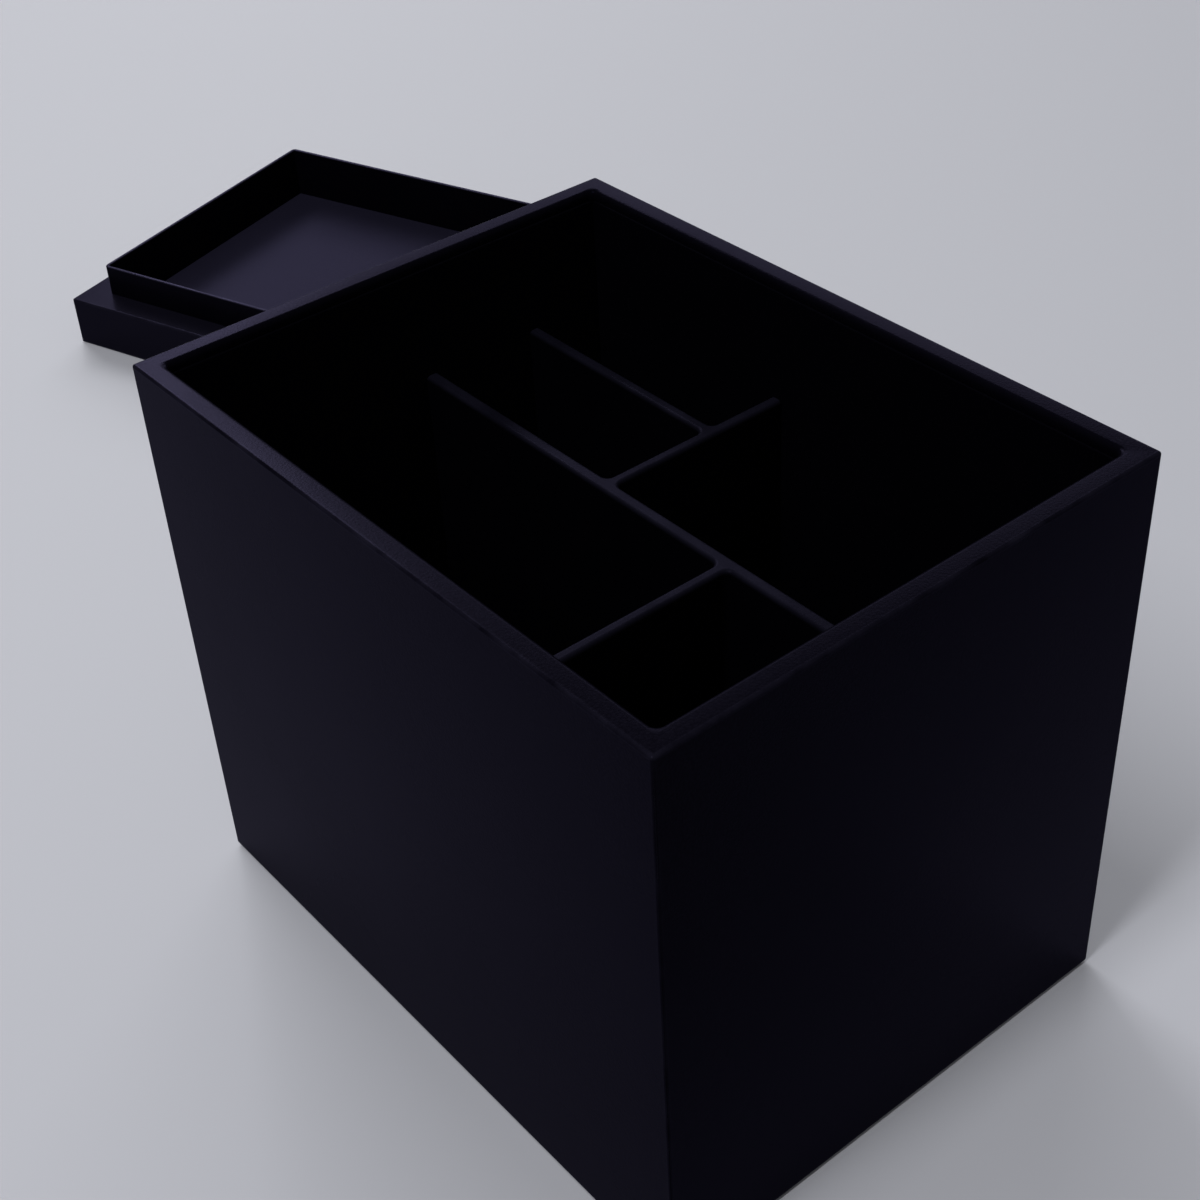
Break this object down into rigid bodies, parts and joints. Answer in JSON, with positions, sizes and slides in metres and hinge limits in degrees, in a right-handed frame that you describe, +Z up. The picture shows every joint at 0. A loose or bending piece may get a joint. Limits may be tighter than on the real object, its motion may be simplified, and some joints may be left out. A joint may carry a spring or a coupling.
{
  "type": "lidded organizer box",
  "caption": "Deep rectangular vanity box in black leatherette, with a lift-out divider set and a separate collared lid lying upside down behind it.",
  "frame": {"origin": "centre of the box's underside, on the surface it stands on", "axes": "+Z up, -Y out of the box's front (a short side), +X to its right; the lid lies behind, towards +Y"},
  "size_m": [0.3194, 0.5618, 0.167],
  "materials": {
    "leatherette": "satin",
    "lining": "matte",
    "divider_lining": "satin",
    "felt": "matte",
    "fibreboard": "matte",
    "collar_board": "satin"
  },
  "bodies": {
    "box": {"front_wall": "fibreboard", "rear_wall": "fibreboard", "left_wall": "fibreboard", "right_wall": "fibreboard", "floor_board": "fibreboard", "outer_wrap": "leatherette", "base_cover": "felt", "front_liner": "lining", "rear_liner": "lining", "left_liner": "lining", "right_liner": "lining", "floor_liner": "lining"},
    "divider_set": {"long_divider": "fibreboard", "long_divider_cover": "divider_lining", "front_cross_divider": "fibreboard", "front_cross_divider_cover": "divider_lining", "rear_cross_divider": "fibreboard", "rear_cross_divider_cover": "divider_lining", "short_divider": "fibreboard", "short_divider_cover": "divider_lining"},
    "lid": {"lid_top_board": "fibreboard", "lid_front_side": "fibreboard", "lid_rear_side": "fibreboard", "lid_left_side": "fibreboard", "lid_right_side": "fibreboard", "lid_top_cover": "leatherette", "lid_side_wrap": "leatherette", "lid_collar": "collar_board", "lid_ceiling_lining": "lining"}
  },
  "joints": [
    {"name": "divider_lift", "type": "slide", "parent": "box", "child": "divider_set", "axis": [0, 0, 1], "range_m": [0, 0.165]},
    {"name": "lid_lift", "type": "slide", "parent": "box", "child": "lid", "axis": [0, 0, 1], "range_m": [0, 0.18]}
  ]
}
